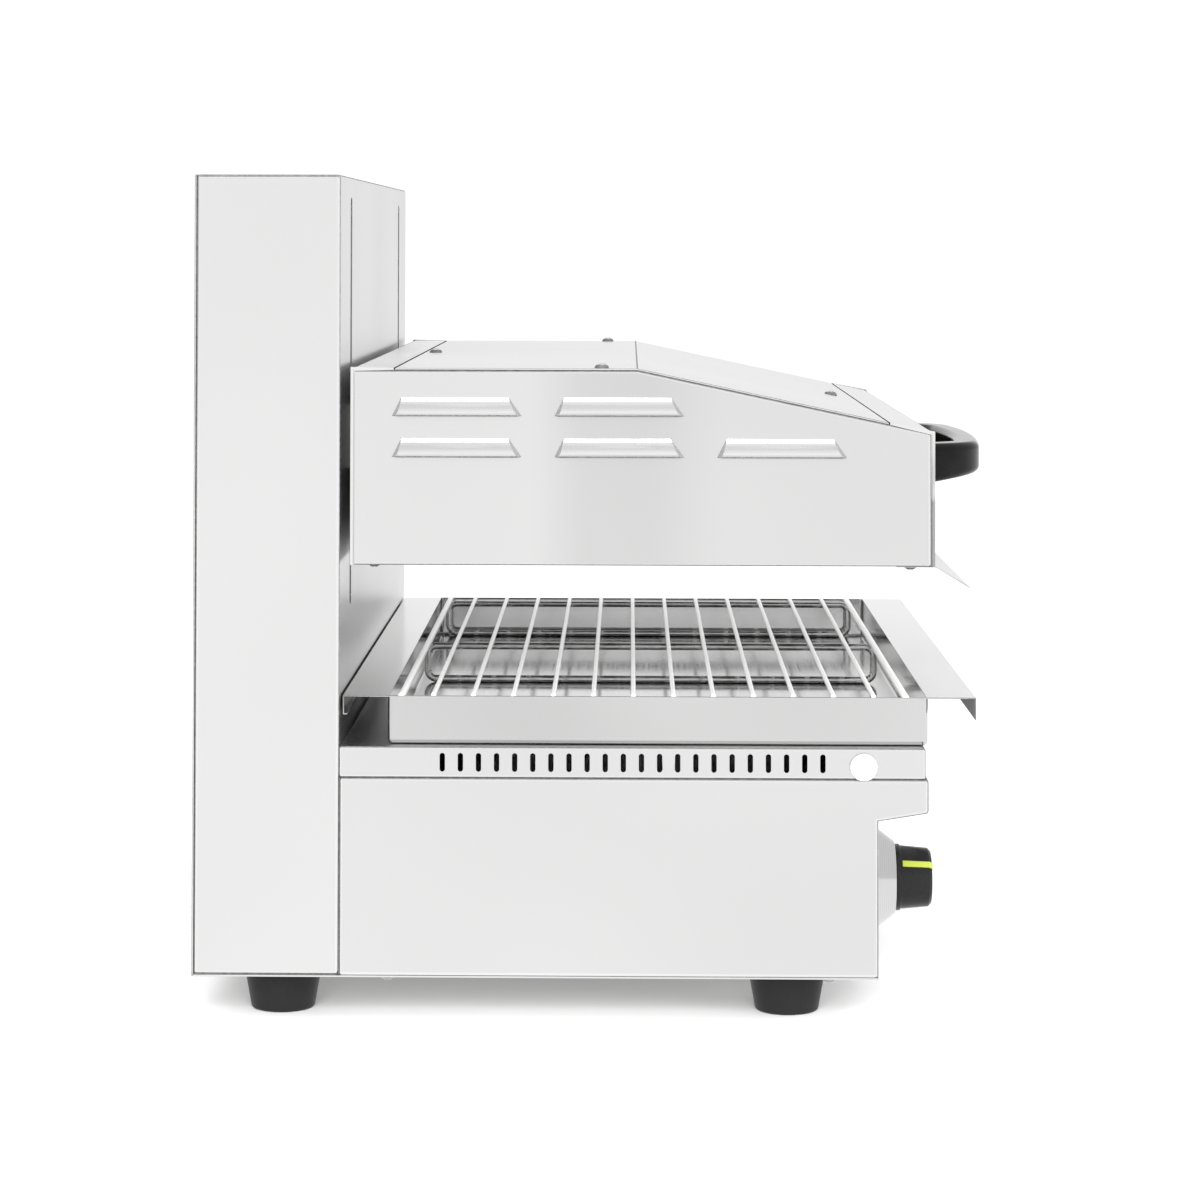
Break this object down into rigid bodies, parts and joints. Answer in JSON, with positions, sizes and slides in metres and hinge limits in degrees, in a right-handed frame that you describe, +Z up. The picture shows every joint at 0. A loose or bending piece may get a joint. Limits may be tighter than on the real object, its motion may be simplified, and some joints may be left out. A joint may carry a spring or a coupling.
{
  "type": "lift salamander grill",
  "caption": "Counter-top salamander grill with a louvred heated hood that slides up and down a rear column, over a sliding drip pan with a wire rack.",
  "frame": {"origin": "on the table, under the middle of the whole grill's box", "axes": "front faces -Y, +Z up, +X to the right seen from the front"},
  "size_m": [0.611, 0.529, 0.524],
  "materials": {
    "stainless_sheet": "brushed satin sheet",
    "pan_sheet": "bright smooth sheet",
    "rack_wire": "bright welded wire",
    "bezel_metal": "bright turned metal",
    "handle_plastic": "glossy moulded phenolic",
    "knob_plastic": "satin moulded plastic",
    "pointer_inlay": "flush coloured inlay",
    "foot_rubber": "moulded rubber",
    "buffer_rubber": "moulded rubber",
    "plug_plastic": "smooth moulded plastic",
    "lamp_amber": "clear tinted lens",
    "screw_zinc": "bright zinc plated",
    "bolt_black": "blackened steel",
    "heater_sheath": "dull tube sheath",
    "bar_steel": "plain strip",
    "bush_ceramic": "glazed ceramic",
    "carriage_steel": "plain plate",
    "block_alloy": "milled",
    "ground_rod": "ground and polished",
    "bush_bronze": "sintered bronze",
    "cable_steel": "stranded wire",
    "weight_iron": "cast, painted dark grey",
    "shoe_nylon": "moulded nylon",
    "pulley_nylon": "moulded nylon",
    "gland_plastic": "moulded plastic",
    "terminal_plastic": "moulded plastic",
    "regulator_plastic": "moulded plastic"
  },
  "bodies": {
    "base": {"foot_rear_left": "foot_rubber", "foot_rear_right": "foot_rubber", "foot_front_left": "foot_rubber", "foot_front_right": "foot_rubber", "foot_screws": "screw_zinc", "floor_plate": "stainless_sheet", "base_box": "stainless_sheet", "control_panel": "stainless_sheet", "slotted_deck": "stainless_sheet", "vent_plugs": "plug_plastic", "bezel_left": "bezel_metal", "bezel_right": "bezel_metal", "regulator_left": "regulator_plastic", "regulator_right": "regulator_plastic", "pilot_lamp_left": "lamp_amber", "pilot_lamp_right": "lamp_amber", "terminal_block": "terminal_plastic", "column_shell": "stainless_sheet", "casing_screws": "screw_zinc", "rear_cover": "stainless_sheet", "cable_gland": "gland_plastic", "guide_rods": "ground_rod", "rod_clamps": "block_alloy", "rubber_buffers": "buffer_rubber", "pulley_axles": "ground_rod", "pulley_brackets": "carriage_steel", "cable_wraps": "cable_steel", "weight_guides": "carriage_steel"},
    "hood": {"hood_rear_panel": "stainless_sheet", "hood_side_left": "stainless_sheet", "hood_side_right": "stainless_sheet", "hood_top_cover": "stainless_sheet", "hood_front_panel": "stainless_sheet", "front_deflector": "stainless_sheet", "reflector": "pan_sheet", "heater_left": "heater_sheath", "heater_right": "heater_sheath", "heater_bars": "bar_steel", "heater_bushes": "bush_ceramic", "handle": "handle_plastic", "hood_screws": "screw_zinc", "carriage": "carriage_steel", "carriage_blocks": "block_alloy", "guide_bushes": "bush_bronze", "arm_bolts": "bolt_black", "cable_front_strands": "cable_steel"},
    "balance_weight": {"counterweight": "weight_iron", "weight_shoes": "shoe_nylon", "cable_rear_strands": "cable_steel"},
    "left_pulley": {"pulley_left": "pulley_nylon"},
    "right_pulley": {"pulley_right": "pulley_nylon"},
    "left_knob": {"knob_left": "knob_plastic", "pointer_left": "pointer_inlay", "spindle_left": "ground_rod"},
    "right_knob": {"knob_right": "knob_plastic", "pointer_right": "pointer_inlay", "spindle_right": "ground_rod"},
    "pan": {"drip_pan": "pan_sheet"},
    "rack": {"wire_rack": "rack_wire", "rack_loops": "rack_wire"}
  },
  "joints": [
    {"name": "hood_lift", "type": "slide", "parent": "base", "child": "hood", "axis": [0, 0, 1], "range_m": [-0.045, 0.12], "deforming": ["cable_front_strands"]},
    {"name": "weight_travel", "type": "slide", "parent": "base", "child": "balance_weight", "axis": [0, 0, 1], "range_m": [-0.12, 0.045], "deforming": ["cable_rear_strands"]},
    {"name": "left_pulley_turn", "type": "hinge", "parent": "base", "child": "left_pulley", "pos_m": [-0.08, 0.2065, 0.485], "axis": [1, 0, 0], "range_deg": [-316, 119]},
    {"name": "right_pulley_turn", "type": "hinge", "parent": "base", "child": "right_pulley", "pos_m": [0.08, 0.2065, 0.485], "axis": [1, 0, 0], "range_deg": [-316, 119]},
    {"name": "left_knob_turn", "type": "hinge", "parent": "base", "child": "left_knob", "pos_m": [-0.186, -0.1945, 0.07], "axis": [0, 1, 0], "range_deg": [0, 270]},
    {"name": "right_knob_turn", "type": "hinge", "parent": "base", "child": "right_knob", "pos_m": [0.186, -0.1945, 0.07], "axis": [0, 1, 0], "range_deg": [0, 270]},
    {"name": "pan_slide", "type": "slide", "parent": "base", "child": "pan", "axis": [0, -1, 0], "range_m": [0, 0.42]},
    {"name": "rack_lift", "type": "slide", "parent": "pan", "child": "rack", "axis": [0, 0, 1], "range_m": [0, 0.03]}
  ],
  "couplings": [
    {"joint": "weight_travel", "follows": "hood_lift", "ratio": -1},
    {"joint": "left_pulley_turn", "follows": "hood_lift", "rad_per_m": -45.872},
    {"joint": "right_pulley_turn", "follows": "hood_lift", "rad_per_m": -45.872}
  ]
}
